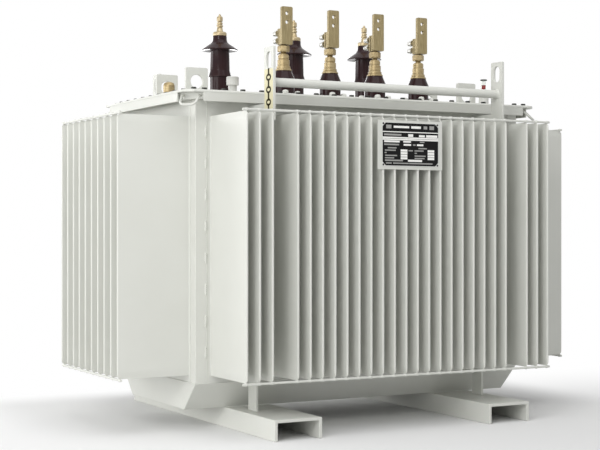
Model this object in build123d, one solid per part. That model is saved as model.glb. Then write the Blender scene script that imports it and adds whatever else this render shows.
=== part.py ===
from build123d import *
import math
import os

# Oil-filled distribution transformer with a corrugated tank, on two skids.
# Millimetres. X runs along the tank, Y from the low-voltage side (-Y) to the
# high-voltage side, Z is up from the ground, and the origin is under the centre.

# Skids: inverted channels that carry the tank
SKID_SPACING = 820.0
SKID_WIDTH = 170.0
SKID_HEIGHT = 68.0
SKID_LENGTH = 1180.0
SKID_WEB = 10.0
SKID_FLANGE = 11.0

# Tank: a trough-shaped bottom under four corrugated walls
WALL = 5.0
BOTTOM_PLATE = 6.0
BOTTOM_WIDTH = 454.0
BOTTOM_RISE = 94.0
CORNER_LEG = 41.0
WALL_TOP_OVER_FINS = 44.0

# Fins: hollow folds of the wall sheet, pinched flat at both ends
FIN_THICKNESS = 8.0
FIN_PINCHED = 3.0
FIN_PINCH_LENGTH = 26.0
FIN_CORNER_CUT = 8.0
FIN_HEIGHT = 846.0
FIN_ABOVE_BOTTOM = 24.0
FRONT_FIN_PITCH = 45.0
FRONT_FIN_SLOTS = 27
FRONT_FIN_DEPTH = 260.0
FRONT_END_LAND = 60.0
POST_SLOT = 3
SIDE_FIN_PITCH = 60.0
SIDE_FIN_COUNT = 10
SIDE_FIN_DEPTH = 250.0
SIDE_END_LAND = 50.0

# Tie rods welded across the fin ends
TIE_ROD = 8.0
TIE_ROD_INSET = 5.0
TIE_ROD_OVERRUN = 8.0

# Tank flange, and the lid with strips round its edge
FLANGE_THICKNESS = 20.0
FLANGE_SIDE_REACH = 38.0
FLANGE_END_REACH = 45.0
FLANGE_INSIDE = 40.0
FLANGE_CORNER_CUT = 62.0
LID_PLATE = 9.0
LID_SKIRT = 6.0
LID_SKIRT_DROP = 29.0
LID_SKIRT_CLEARANCE = 7.0
LID_CORNER_CUT = 30.0
LID_EDGE_ROUNDING = 7.0
SKIRT_CORNER_CUT = 66.0

# Lashing loops at the four corners
LOOP_BAR = 8.0
LOOP_WIDTH = 56.0
LOOP_STUB = 12.0
LOOP_REACH = 46.0
LOOP_DROP = 32.0
LOOP_SHOULDER_BEND = 9.0
LOOP_BOW_BEND = 18.0

# Lifting posts: plates that rise past the lid, on legs that run down to the skids
POST_PLATE = 8.0
POST_LEG = 58.0
POST_UPRIGHT = 66.0
POST_STAND_OFF = 115.0
POST_FOOT_HEIGHT = 57.0
POST_FOOT_UNDER_SKIRT = 7.0
POST_ABOVE_LID = 136.0
POST_ROUNDING = 4.0
POST_SLOT_WIDTH = 33.0
POST_SLOT_HEIGHT = 56.0
POST_SLOT_FROM_TOP = 15.0
RAIL = 29.0
RAIL_ABOVE_LID = 23.0

# High-voltage bushings
HV_COUNT = 3
HV_SPACING = 310.0
HV_ROW = 207.0
HV_BASE = 74.0
HV_BASE_HEIGHT = 107.0
HV_SKIRT = 85.0
HV_SKIRT_LIP = 3.0
HV_SKIRT_RISE = 21.0
HV_BODY = 70.0
HV_SHED = 134.0
HV_SHED_BELOW_TOP = 54.0
HV_SHED_HOLLOW = 5.0
HV_SHED_LIP = 4.0
HV_SHED_SLOPE = 34.0
HV_TOP_NECK = 52.0
HV_FLARE_ROUNDING = 24.0
HV_PORCELAIN_HEIGHT = 259.0
HV_CAP = 51.0
HV_CAP_HEIGHT = 15.0
HV_CAP_BEVEL = 4.0
HV_CONE_FOOT = 25.0
HV_CONE_TOP = 20.0
HV_CONE_HEIGHT = 16.0
HV_STACK_DIAMETERS = (15.0, 24.0, 16.0, 22.0, 14.0)
HV_STACK_HEIGHTS = (2.0, 7.0, 3.0, 7.0, 3.0)
HV_KNOB = 22.0
HV_KNOB_HEIGHT = 20.0
HV_KNOB_ROUNDING = 6.0
HV_TIP = 9.0
HV_TIP_HEIGHT = 8.0
HV_TIP_BEVEL = 3.0
HV_RING = 112.0
HV_RING_HEIGHT = 14.0

# Low-voltage bushings
LV_COUNT = 4
LV_SPACING = 183.0
LV_ROW = -229.0
LV_BASE = 74.0
LV_BASE_HEIGHT = 56.0
LV_SHED = 79.0
LV_SHED_LIP = 5.0
LV_PORCELAIN_HEIGHT = 90.0
LV_PORCELAIN_TOP = 57.0
LV_TOP_NECK = 3.0
LV_RING_DIAMETERS = (57.0, 48.0, 42.0, 38.0)
LV_RING_HEIGHTS = (8.0, 11.0, 22.0, 16.0)
LV_RING_GROOVE = 2.0
LV_RING_GROOVE_DEPTH = 3.0
LV_STUD = 20.0
LV_NECK_HEIGHT = 8.0
LV_NUT = 36.0
LV_NUT_HEIGHT = 21.0
LV_STUD_ABOVE_NUT = 3.0
LV_STUD_IN_CLAMP = 49.0
LV_COLLAR = 116.0
LV_COLLAR_HEIGHT = 10.0

# Flag terminals clamped on the low-voltage studs
CLAMP_WIDTH = 40.0
CLAMP_DEPTH = 40.0
CLAMP_HEIGHT = 55.0
CLAMP_FIT = 0.3
CLAMP_SLIT = 4.0
CLAMP_AHEAD_OF_STUD = 4.0
CLAMP_BESIDE_STUD = 2.0
CLAMP_ROUNDING = 8.0
FLAG_WIDTH = 42.0
FLAG_THICKNESS = 11.0
FLAG_RISE = 74.0
FLAG_CORNER = 5.0
FLAG_HOLE = 13.0
FLAG_HOLE_PITCH = 30.0
FLAG_HOLE_FROM_TOP = 23.0

# Lid fittings
LUG_SPACING_X = 1110.0
LUG_SPACING_Y = 256.0
LUG_WIDTH = 82.0
LUG_HEIGHT = 97.0
LUG_PLATE = 12.0
LUG_HOLE = 46.0
LUG_HOLE_HEIGHT = 50.0
LUG_ROUNDING = 6.0
FILLER_AT = (-362.0, -10.0)
FILLER_NECK = 30.0
FILLER_NECK_HEIGHT = 58.0
FILLER_FOOT = 46.0
FILLER_FOOT_HEIGHT = 8.0
FILLER_CAP = 44.0
FILLER_CAP_HEIGHT = 29.0
FILLER_CAP_BEVEL = 3.5
GAUGE_AT = (588.0, -196.0)
GAUGE_FOOT = 42.0
GAUGE_FOOT_HEIGHT = 48.0
GAUGE_TUBE = 22.0
GAUGE_TUBE_HEIGHT = 53.0
GAUGE_CAP = 25.0
GAUGE_CAP_HEIGHT = 6.0
VALVE_AT = (-590.0, 25.0)
VALVE_BASE = 34.0
VALVE_BASE_HEIGHT = 24.0
VALVE_BODY = 40.0
VALVE_HEIGHT = 60.0
VALVE_DOME = 12.0

# Rating plate on the tips of the front fins
BRACKET_WIDTH = 252.0
BRACKET_HEIGHT = 161.0
BRACKET_SHEET = 2.0
BRACKET_CENTRE_X = 12.0
BRACKET_BELOW_ROD = 12.0
PLATE_WIDTH = 221.0
PLATE_HEIGHT = 144.0
PLATE_SHEET = 1.5
PLATE_RAISED_BY = 2.0

# Levels and outlines that follow from the sizes above
TANK_LENGTH = (FRONT_FIN_SLOTS - 1) * FRONT_FIN_PITCH + 2 * FRONT_END_LAND
TANK_DEPTH = (SIDE_FIN_COUNT - 1) * SIDE_FIN_PITCH + 2 * SIDE_END_LAND
HALF_LENGTH = TANK_LENGTH / 2
HALF_DEPTH = TANK_DEPTH / 2
WALL_FOOT = SKID_HEIGHT + BOTTOM_RISE
FIN_FOOT = WALL_FOOT + FIN_ABOVE_BOTTOM
FIN_TOP = FIN_FOOT + FIN_HEIGHT
WALL_HEAD = FIN_TOP + TIE_ROD + WALL_TOP_OVER_FINS
FLANGE_TOP = WALL_HEAD + FLANGE_THICKNESS
LID_TOP = FLANGE_TOP + LID_PLATE
FLANGE_HALF_LENGTH = HALF_LENGTH + FLANGE_END_REACH
FLANGE_HALF_DEPTH = HALF_DEPTH + FLANGE_SIDE_REACH
LID_HALF_LENGTH = FLANGE_HALF_LENGTH + LID_SKIRT_CLEARANCE + LID_SKIRT
LID_HALF_DEPTH = FLANGE_HALF_DEPTH + LID_SKIRT_CLEARANCE + LID_SKIRT
SKIRT_FOOT = FLANGE_TOP - LID_SKIRT_DROP
POST_X = (FRONT_FIN_SLOTS - 1) * FRONT_FIN_PITCH / 2 - POST_SLOT * FRONT_FIN_PITCH
POST_TOP = LID_TOP + POST_ABOVE_LID
POST_INNER = HALF_DEPTH + POST_STAND_OFF
POST_OUTER = POST_INNER + POST_UPRIGHT
POST_FOOT_TOP = SKIRT_FOOT - POST_FOOT_UNDER_SKIRT
POST_FOOT = POST_FOOT_TOP - POST_FOOT_HEIGHT
LV_STACK_HEIGHT = sum(LV_RING_HEIGHTS)
LV_NUT_FOOT = LID_TOP + LV_PORCELAIN_HEIGHT + LV_STACK_HEIGHT + LV_NECK_HEIGHT
CLAMP_FOOT = LV_NUT_FOOT + LV_NUT_HEIGHT + LV_STUD_ABOVE_NUT
FLAG_TOP = CLAMP_FOOT + CLAMP_HEIGHT + FLAG_RISE


def block(width, depth, height, x=0.0, y=0.0, z=0.0):
    """A box standing on height z, centred on x and y."""
    return Pos(x, y, z) * Box(width, depth, height, align=(Align.CENTER, Align.CENTER, Align.MIN))


def rod_up(diameter, height, x=0.0, y=0.0, z=0.0):
    """An upright cylinder standing on height z."""
    return Pos(x, y, z) * Cylinder(diameter / 2, height, align=(Align.CENTER, Align.CENTER, Align.MIN))


def hex_nut(across_flats, height, z):
    """A hexagon nut on the Z axis, standing on height z."""
    return Pos(0, 0, z) * extrude(RegularPolygon(across_flats / 2, 6, major_radius=False), height)


def spun(outline):
    """A solid turned about the Z axis from a closed outline of radius and height."""
    return revolve(Plane.XZ * make_face(outline), Axis.Z)


def cut_corners(half_length, half_depth, cut):
    """A rectangle with its four corners cut off at 45 degrees."""
    corner = [(half_length, half_depth - cut), (half_length - cut, half_depth)]
    right = [(x, -y) for x, y in reversed(corner)] + corner
    left = [(-x, -y) for x, y in right]
    return Polygon(*right, *left, align=None)


def skid(x):
    """An inverted channel lying along Y, with its web on top."""
    channel = block(SKID_WIDTH, SKID_LENGTH, SKID_HEIGHT)
    channel -= block(SKID_WIDTH - 2 * SKID_FLANGE, SKID_LENGTH, SKID_HEIGHT - SKID_WEB)
    return Pos(x, 0, 0) * channel


def tank_bottom():
    """The trough under the walls: its long sides slope in, its ends stand upright."""
    def trough(inset, half_length):
        section = Polygon(
            (-BOTTOM_WIDTH / 2 + inset, SKID_HEIGHT + inset),
            (BOTTOM_WIDTH / 2 - inset, SKID_HEIGHT + inset),
            (HALF_DEPTH - inset, WALL_FOOT),
            (-HALF_DEPTH + inset, WALL_FOOT),
            align=None,
        )
        return extrude(Plane.YZ * section, half_length, both=True)

    return trough(0, HALF_LENGTH) - trough(BOTTOM_PLATE, HALF_LENGTH - BOTTOM_PLATE)


def tank_corners():
    """Four angle posts that the corrugated walls are welded to."""
    section = Rectangle(CORNER_LEG, CORNER_LEG, align=(Align.MAX, Align.MAX))
    section -= Pos(-WALL, -WALL) * section
    corner = Pos(HALF_LENGTH, HALF_DEPTH, WALL_FOOT) * extrude(section, WALL_HEAD - WALL_FOOT)
    right = [corner, mirror(corner, Plane.XZ)]
    return Compound(right + [mirror(post, Plane.YZ) for post in right])


def fin(depth):
    """One fold standing out along -Y: round at its tip, pinched thin at both ends, corners cut."""
    radius = FIN_THICKNESS / 2
    plan = Rectangle(FIN_THICKNESS, depth - radius, align=(Align.CENTER, Align.MAX))
    plan += Pos(0, -depth + radius) * Circle(radius)
    blade = Pos(0, 0, FIN_FOOT) * extrude(plan, FIN_HEIGHT)
    half_thick = FIN_THICKNESS / 2
    half_thin = FIN_PINCHED / 2
    elevation = Polygon(
        (half_thin, FIN_FOOT),
        (half_thick, FIN_FOOT + FIN_PINCH_LENGTH),
        (half_thick, FIN_TOP - FIN_PINCH_LENGTH),
        (half_thin, FIN_TOP),
        (-half_thin, FIN_TOP),
        (-half_thick, FIN_TOP - FIN_PINCH_LENGTH),
        (-half_thick, FIN_FOOT + FIN_PINCH_LENGTH),
        (-half_thin, FIN_FOOT),
        align=None,
    )
    corner = [(-depth, FIN_TOP - FIN_CORNER_CUT), (-depth + FIN_CORNER_CUT, FIN_TOP)]
    corner += [(0, FIN_TOP), (0, FIN_FOOT)]
    corner += [(-depth + FIN_CORNER_CUT, FIN_FOOT), (-depth, FIN_FOOT + FIN_CORNER_CUT)]
    side = Polygon(*corner, align=None)
    blade &= extrude(Plane.XZ * elevation, depth)
    return blade & extrude(Plane.YZ * side, half_thick, both=True)


def fin_wall(wall_length, fin_places, depth):
    """A corrugated wall along X with its outer face at Y = 0 and its fins towards -Y."""
    sheet = block(wall_length - 2 * CORNER_LEG, WALL, WALL_HEAD - WALL_FOOT, 0, WALL / 2, WALL_FOOT)
    one_fin = fin(depth)
    return sheet + [Pos(x, 0, 0) * one_fin for x in fin_places]


def front_fin_places():
    """Fin centres along the long walls, with one slot left out for each lifting post."""
    last = FRONT_FIN_SLOTS - 1
    post_slots = (POST_SLOT, last - POST_SLOT)
    return [(i - last / 2) * FRONT_FIN_PITCH for i in range(FRONT_FIN_SLOTS) if i not in post_slots]


def side_fin_places():
    """Fin centres along the end walls."""
    return [(i - (SIDE_FIN_COUNT - 1) / 2) * SIDE_FIN_PITCH for i in range(SIDE_FIN_COUNT)]


def tie_rods(z):
    """Round bars laid across the fin ends, one along each of the four walls."""
    def bar(fin_places):
        length = fin_places[-1] - fin_places[0] + FIN_THICKNESS + 2 * TIE_ROD_OVERRUN
        return Rot(0, 90, 0) * Cylinder(TIE_ROD / 2, length)

    inset = TIE_ROD / 2 + TIE_ROD_INSET
    long_bar = bar(front_fin_places())
    end_bar = Rot(0, 0, 90) * bar(side_fin_places())
    y = HALF_DEPTH + FRONT_FIN_DEPTH - inset
    x = HALF_LENGTH + SIDE_FIN_DEPTH - inset
    return Compound([
        Pos(0, -y, z) * long_bar,
        Pos(0, y, z) * long_bar,
        Pos(-x, 0, z) * end_bar,
        Pos(x, 0, z) * end_bar,
    ])


def tank_flange():
    """The flat ring welded on the walls, which the lid is bolted to."""
    ring = cut_corners(FLANGE_HALF_LENGTH, FLANGE_HALF_DEPTH, FLANGE_CORNER_CUT)
    ring -= Rectangle(TANK_LENGTH - 2 * FLANGE_INSIDE, TANK_DEPTH - 2 * FLANGE_INSIDE)
    return Pos(0, 0, WALL_HEAD) * extrude(ring, FLANGE_THICKNESS)


def lid():
    """A flat plate with cut corners, rounded over along its four sides."""
    outline = cut_corners(LID_HALF_LENGTH, LID_HALF_DEPTH, LID_CORNER_CUT)
    plate = Pos(0, 0, FLANGE_TOP) * extrude(outline, LID_PLATE)
    top_edges = plate.edges().group_by(Axis.Z)[-1]
    return fillet(top_edges.filter_by(Axis.X) + top_edges.filter_by(Axis.Y), LID_EDGE_ROUNDING)


def lid_skirts():
    """Strips that hang from the lid's four sides over the flange, with open corners between them."""
    long_skirt = block(2 * (LID_HALF_LENGTH - SKIRT_CORNER_CUT), LID_SKIRT, LID_SKIRT_DROP, z=SKIRT_FOOT)
    end_skirt = block(LID_SKIRT, 2 * (LID_HALF_DEPTH - SKIRT_CORNER_CUT), LID_SKIRT_DROP, z=SKIRT_FOOT)
    y = LID_HALF_DEPTH - LID_SKIRT / 2
    x = LID_HALF_LENGTH - LID_SKIRT / 2
    long_sides = [Pos(0, side * y, 0) * long_skirt for side in (-1, 1)]
    return Compound(long_sides + [Pos(side * x, 0, 0) * end_skirt for side in (-1, 1)])


def corner_loops():
    """Bent bars welded to the cut corners of the flange, for lashing the load."""
    level = WALL_HEAD + FLANGE_THICKNESS / 2
    half = LOOP_WIDTH / 2
    route = FilletPolyline(
        (0, -half, level),
        (LOOP_STUB, -half, level),
        (LOOP_REACH, -half, level - LOOP_DROP),
        (LOOP_REACH, half, level - LOOP_DROP),
        (LOOP_STUB, half, level),
        (0, half, level),
        radius=[LOOP_SHOULDER_BEND, LOOP_BOW_BEND, LOOP_BOW_BEND, LOOP_SHOULDER_BEND],
    )
    bar = sweep(Plane(origin=(0, -half, level), z_dir=(1, 0, 0)) * Circle(LOOP_BAR / 2), path=route)
    middle_x = FLANGE_HALF_LENGTH - FLANGE_CORNER_CUT / 2
    middle_y = FLANGE_HALF_DEPTH - FLANGE_CORNER_CUT / 2
    places = [(1, 1, 45), (-1, 1, 135), (-1, -1, 225), (1, -1, 315)]
    return Compound([Pos(sx * middle_x, sy * middle_y) * Rot(0, 0, turn) * bar for sx, sy, turn in places])


def post_legs():
    """Plates up the long walls from the skids, each in the place of a fin, that carry the posts."""
    leg = block(POST_PLATE, POST_LEG, POST_FOOT - SKID_HEIGHT, z=SKID_HEIGHT)
    y = HALF_DEPTH + POST_LEG / 2
    return Compound([Pos(sx * POST_X, sy * y, 0) * leg for sx in (-1, 1) for sy in (-1, 1)])


def lifting_post(x, side):
    """A plate on the top of its leg, out under the lid's edge and up past it, with a sling slot."""
    outline = Polygon(
        (HALF_DEPTH, POST_FOOT),
        (POST_OUTER, POST_FOOT),
        (POST_OUTER, POST_TOP),
        (POST_INNER, POST_TOP),
        (POST_INNER, POST_FOOT_TOP),
        (HALF_DEPTH, POST_FOOT_TOP),
        align=None,
    )
    outline = fillet(outline.vertices().group_by(Axis.Y)[-1], POST_ROUNDING)
    slot_y = (POST_INNER + POST_OUTER) / 2
    slot_z = POST_TOP - POST_SLOT_FROM_TOP - POST_SLOT_HEIGHT / 2
    outline -= Pos(slot_y, slot_z) * Rot(0, 0, 90) * SlotOverall(POST_SLOT_HEIGHT, POST_SLOT_WIDTH)
    plate = Pos(x, 0, 0) * extrude(Plane.YZ * outline, POST_PLATE / 2, both=True)
    return plate if side > 0 else mirror(plate, Plane.XZ)


def rails():
    """A round bar between each pair of lifting posts."""
    bar = Rot(0, 90, 0) * Cylinder(RAIL / 2, 2 * POST_X - POST_PLATE)
    y = (POST_INNER + POST_OUTER) / 2
    z = LID_TOP + RAIL_ABOVE_LID
    return Compound([Pos(0, -y, z) * bar, Pos(0, y, z) * bar])


def hv_porcelain():
    """A turned insulator: plain base, small skirt, body and one wide shed flaring from the neck."""
    base = HV_BASE / 2
    skirt = HV_SKIRT / 2
    body = HV_BODY / 2
    shed = HV_SHED / 2
    top = HV_TOP_NECK / 2
    skirt_top = HV_BASE_HEIGHT + HV_SKIRT_LIP
    shed_underside = HV_PORCELAIN_HEIGHT - HV_SHED_BELOW_TOP
    shed_top = shed_underside + HV_SHED_LIP
    flare_corner = shed_top + (shed - top) * math.tan(math.radians(HV_SHED_SLOPE))
    outline = Curve() + [
        Polyline(
            (0, 0),
            (base, 0),
            (base, HV_BASE_HEIGHT),
            (skirt, HV_BASE_HEIGHT),
            (skirt, skirt_top),
            (base, skirt_top + HV_SKIRT_RISE),
            (body, shed_underside + HV_SHED_HOLLOW),
            (shed, shed_underside),
            (shed, shed_top),
        ),
        FilletPolyline(
            (shed, shed_top), (top, flare_corner), (top, HV_PORCELAIN_HEIGHT), radius=HV_FLARE_ROUNDING),
        Polyline((top, HV_PORCELAIN_HEIGHT), (0, HV_PORCELAIN_HEIGHT), (0, 0)),
    ]
    return spun(outline)


def hv_terminal():
    """The brass cap, cone, collars and rounded contact knob on top of an insulator."""
    cap = rod_up(HV_CAP, HV_CAP_HEIGHT)
    terminal = chamfer(cap.edges().group_by(Axis.Z)[-1], HV_CAP_BEVEL)
    standing = (Align.CENTER, Align.CENTER, Align.MIN)
    cone = Cone(HV_CONE_FOOT / 2, HV_CONE_TOP / 2, HV_CONE_HEIGHT, align=standing)
    terminal += Pos(0, 0, HV_CAP_HEIGHT) * cone
    level = HV_CAP_HEIGHT + HV_CONE_HEIGHT
    for diameter, height in zip(HV_STACK_DIAMETERS, HV_STACK_HEIGHTS):
        terminal += rod_up(diameter, height, z=level)
        level += height
    knob = rod_up(HV_KNOB, HV_KNOB_HEIGHT, z=level)
    terminal += fillet(knob.edges().filter_by(GeomType.CIRCLE), HV_KNOB_ROUNDING)
    tip = rod_up(HV_TIP, HV_TIP_HEIGHT, z=level + HV_KNOB_HEIGHT)
    return terminal + chamfer(tip.edges().group_by(Axis.Z)[-1], HV_TIP_BEVEL)


def bushing_ring(ring, bushing, height):
    """The clamp ring that presses an insulator's foot on the lid."""
    return rod_up(ring, height) - rod_up(bushing, height)


def lv_porcelain():
    """A short turned insulator: plain base under a lipped, conical shed."""
    base = LV_BASE / 2
    shed = LV_SHED / 2
    top = LV_PORCELAIN_TOP / 2
    outline = Polyline(
        (0, 0),
        (base, 0),
        (base, LV_BASE_HEIGHT),
        (shed, LV_BASE_HEIGHT),
        (shed, LV_BASE_HEIGHT + LV_SHED_LIP),
        (top, LV_PORCELAIN_HEIGHT - LV_TOP_NECK),
        (top, LV_PORCELAIN_HEIGHT),
        (0, LV_PORCELAIN_HEIGHT),
        close=True,
    )
    return spun(outline)


def lv_stem():
    """The brass stack of rings, neck, lock nut and stud on a low-voltage insulator."""
    stem = rod_up(LV_STUD, LV_STACK_HEIGHT + LV_NECK_HEIGHT)
    foot = 0.0
    for diameter, height in zip(LV_RING_DIAMETERS, LV_RING_HEIGHTS):
        stem += rod_up(diameter, height - LV_RING_GROOVE, z=foot)
        groove_foot = foot + height - LV_RING_GROOVE
        stem += rod_up(diameter - 2 * LV_RING_GROOVE_DEPTH, LV_RING_GROOVE, z=groove_foot)
        foot += height
    nut_foot = LV_STACK_HEIGHT + LV_NECK_HEIGHT
    stem += hex_nut(LV_NUT, LV_NUT_HEIGHT, nut_foot)
    return stem + rod_up(LV_STUD, LV_STUD_ABOVE_NUT + LV_STUD_IN_CLAMP, z=nut_foot + LV_NUT_HEIGHT)


def lv_flag():
    """A cast clamp, bored for the stud and slit on one side, with a drilled flag at its front."""
    clamp = block(CLAMP_WIDTH, CLAMP_DEPTH, CLAMP_HEIGHT)
    clamp = fillet(clamp.edges().filter_by(Axis.Z).group_by(Axis.Y)[-1], CLAMP_ROUNDING)
    height = CLAMP_HEIGHT + FLAG_RISE
    outline = Pos(0, height / 2) * RectangleRounded(FLAG_WIDTH, height, FLAG_CORNER)
    for row in range(2):
        outline -= Pos(0, height - FLAG_HOLE_FROM_TOP - row * FLAG_HOLE_PITCH) * Circle(FLAG_HOLE / 2)
    front = -CLAMP_DEPTH / 2
    clamp += Pos(0, front + FLAG_THICKNESS, 0) * extrude(Plane.XZ * outline, FLAG_THICKNESS)
    clamp = Pos(CLAMP_BESIDE_STUD, -CLAMP_AHEAD_OF_STUD, 0) * clamp
    slit = block(CLAMP_WIDTH, CLAMP_SLIT, CLAMP_HEIGHT, -CLAMP_WIDTH / 2)
    return clamp - rod_up(LV_STUD + 2 * CLAMP_FIT, CLAMP_HEIGHT) - slit


def lid_lugs():
    """Four drilled plates standing on the lid, for lifting it with the windings."""
    outline = Pos(0, LUG_HEIGHT / 2) * Rectangle(LUG_WIDTH, LUG_HEIGHT)
    outline = fillet(outline.vertices().group_by(Axis.Y)[-1], LUG_ROUNDING)
    outline -= Pos(0, LUG_HOLE_HEIGHT) * Circle(LUG_HOLE / 2)
    lug = extrude(Plane.XZ * outline, LUG_PLATE / 2, both=True)
    x = LUG_SPACING_X / 2
    y = LUG_SPACING_Y / 2
    return Compound([Pos(sx * x, sy * y, LID_TOP) * lug for sx in (-1, 1) for sy in (-1, 1)])


def filler():
    """The filling pipe with its foot and screwed cap."""
    pipe = rod_up(FILLER_FOOT, FILLER_FOOT_HEIGHT) + rod_up(FILLER_NECK, FILLER_NECK_HEIGHT)
    cap = rod_up(FILLER_CAP, FILLER_CAP_HEIGHT, z=FILLER_NECK_HEIGHT)
    cap = chamfer(cap.edges().group_by(Axis.Z)[-1], FILLER_CAP_BEVEL)
    return Pos(*FILLER_AT, LID_TOP) * (pipe + cap)


def gauge_body():
    """The oil level gauge: a foot on the lid and the clear tube on it."""
    foot = rod_up(GAUGE_FOOT, GAUGE_FOOT_HEIGHT)
    tube = rod_up(GAUGE_TUBE, GAUGE_TUBE_HEIGHT, z=GAUGE_FOOT_HEIGHT)
    return Pos(*GAUGE_AT, LID_TOP) * (foot + tube)


def gauge_cap():
    """The dark cap that closes the gauge tube."""
    return rod_up(GAUGE_CAP, GAUGE_CAP_HEIGHT, *GAUGE_AT, LID_TOP + GAUGE_FOOT_HEIGHT + GAUGE_TUBE_HEIGHT)


def relief_valve():
    """The brass pressure relief valve: a hexagon base under a domed body."""
    base = hex_nut(VALVE_BASE, VALVE_BASE_HEIGHT, 0)
    body = rod_up(VALVE_BODY, VALVE_HEIGHT - VALVE_BASE_HEIGHT, z=VALVE_BASE_HEIGHT)
    body = fillet(body.edges().group_by(Axis.Z)[-1], VALVE_DOME)
    return Pos(*VALVE_AT, LID_TOP) * (base + body)


def plate_on_fins(width, height, sheet, centre_z, behind):
    """A flat sheet facing -Y, standing off the front fin tips by what lies behind it."""
    y = -(HALF_DEPTH + FRONT_FIN_DEPTH + behind + sheet / 2)
    return Pos(BRACKET_CENTRE_X, y, centre_z) * Box(width, sheet, height)


def write(name, shape):
    """Save one named piece."""
    export_step(shape, f"parts/{name}.step")


os.makedirs("parts", exist_ok=True)

write("skid_left", skid(-SKID_SPACING / 2))
write("skid_right", skid(SKID_SPACING / 2))
write("tank_bottom", tank_bottom())
write("tank_corners", tank_corners())

long_wall = fin_wall(TANK_LENGTH, front_fin_places(), FRONT_FIN_DEPTH)
end_wall = fin_wall(TANK_DEPTH, side_fin_places(), SIDE_FIN_DEPTH)
write("front_fin_wall", Pos(0, -HALF_DEPTH, 0) * long_wall)
write("back_fin_wall", Pos(0, HALF_DEPTH, 0) * Rot(0, 0, 180) * long_wall)
write("left_fin_wall", Pos(-HALF_LENGTH, 0, 0) * Rot(0, 0, -90) * end_wall)
write("right_fin_wall", Pos(HALF_LENGTH, 0, 0) * Rot(0, 0, 90) * end_wall)
write("top_tie_rods", tie_rods(FIN_TOP + TIE_ROD / 2))
write("bottom_tie_rods", tie_rods(FIN_FOOT - TIE_ROD / 2))

write("tank_flange", tank_flange())
write("lid", lid())
write("lid_skirts", lid_skirts())
write("corner_loops", corner_loops())
write("post_legs", post_legs())
for side_name, side in (("front", -1), ("back", 1)):
    write(f"{side_name}_left_lifting_post", lifting_post(-POST_X, side))
    write(f"{side_name}_right_lifting_post", lifting_post(POST_X, side))
write("rails", rails())

hv_places = [((i - (HV_COUNT - 1) / 2) * HV_SPACING, HV_ROW) for i in range(HV_COUNT)]
for number, place in enumerate(hv_places, 1):
    write(f"hv_porcelain_{number}", Pos(*place, LID_TOP) * hv_porcelain())
    write(f"hv_terminal_{number}", Pos(*place, LID_TOP + HV_PORCELAIN_HEIGHT) * hv_terminal())
hv_ring = bushing_ring(HV_RING, HV_BASE, HV_RING_HEIGHT)
write("hv_clamp_rings", Compound([Pos(*place, LID_TOP) * hv_ring for place in hv_places]))

lv_places = [((i - (LV_COUNT - 1) / 2) * LV_SPACING, LV_ROW) for i in range(LV_COUNT)]
for number, place in enumerate(lv_places, 1):
    write(f"lv_porcelain_{number}", Pos(*place, LID_TOP) * lv_porcelain())
    write(f"lv_stem_{number}", Pos(*place, LID_TOP + LV_PORCELAIN_HEIGHT) * lv_stem())
    write(f"lv_flag_{number}", Pos(*place, CLAMP_FOOT) * lv_flag())
lv_collar = bushing_ring(LV_COLLAR, LV_BASE, LV_COLLAR_HEIGHT)
write("lv_clamp_rings", Compound([Pos(*place, LID_TOP) * lv_collar for place in lv_places]))

write("lid_lugs", lid_lugs())
write("filler", filler())
write("gauge_body", gauge_body())
write("gauge_cap", gauge_cap())
write("relief_valve", relief_valve())

bracket_z = FIN_TOP - BRACKET_BELOW_ROD - BRACKET_HEIGHT / 2
bracket = plate_on_fins(BRACKET_WIDTH, BRACKET_HEIGHT, BRACKET_SHEET, bracket_z, 0)
plate = plate_on_fins(PLATE_WIDTH, PLATE_HEIGHT, PLATE_SHEET, bracket_z + PLATE_RAISED_BY, BRACKET_SHEET)
write("plate_bracket", bracket)
write("rating_plate", plate)
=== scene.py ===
import bmesh
import bpy
import math
import numpy as np
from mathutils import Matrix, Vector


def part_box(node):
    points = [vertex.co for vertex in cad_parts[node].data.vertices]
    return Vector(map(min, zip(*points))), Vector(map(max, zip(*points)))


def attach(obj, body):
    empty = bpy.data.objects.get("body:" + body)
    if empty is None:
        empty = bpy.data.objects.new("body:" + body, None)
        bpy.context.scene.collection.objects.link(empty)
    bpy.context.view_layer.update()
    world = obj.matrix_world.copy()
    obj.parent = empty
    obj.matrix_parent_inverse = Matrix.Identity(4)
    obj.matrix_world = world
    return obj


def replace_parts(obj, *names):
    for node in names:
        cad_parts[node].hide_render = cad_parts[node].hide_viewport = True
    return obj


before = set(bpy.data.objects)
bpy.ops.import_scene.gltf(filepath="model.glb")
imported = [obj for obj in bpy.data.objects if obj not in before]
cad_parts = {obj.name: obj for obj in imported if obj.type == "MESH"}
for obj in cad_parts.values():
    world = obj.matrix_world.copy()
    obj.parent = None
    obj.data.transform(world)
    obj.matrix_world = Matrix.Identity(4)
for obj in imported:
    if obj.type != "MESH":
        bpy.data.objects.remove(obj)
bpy.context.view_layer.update()        # the imported transformer's node meshes, each set in place

# Skids
# Two rolled steel channels lie toes down under the tank and carry it. They are sawn square at the ends,
# welded to the tank's bottom and sprayed with it in one light grey enamel.
PAINT = "#d4d5cf"
PAINT_CLOUD = "#cdcec7"
PAINT_CLOUD_MM = 170.0
PAINT_GRAIN_MM = 9.0
CHANNEL_WEB = 10.0
CHANNEL_FLANGE = 11.0
CHANNEL_HEEL = 3.0
CHANNEL_ROOT = 4.0
CHANNEL_EDGE = 2.5
SHARP_ANGLE = 35.0


def linear(colour):
    """An sRGB hex colour as linear red, green and blue, with full alpha."""
    srgb = np.array([int(colour[i:i + 2], 16) for i in (1, 3, 5)]) / 255
    return (*np.where(srgb <= 0.04045, srgb / 12.92, ((srgb + 0.055) / 1.055) ** 2.4).tolist(), 1.0)


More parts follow.
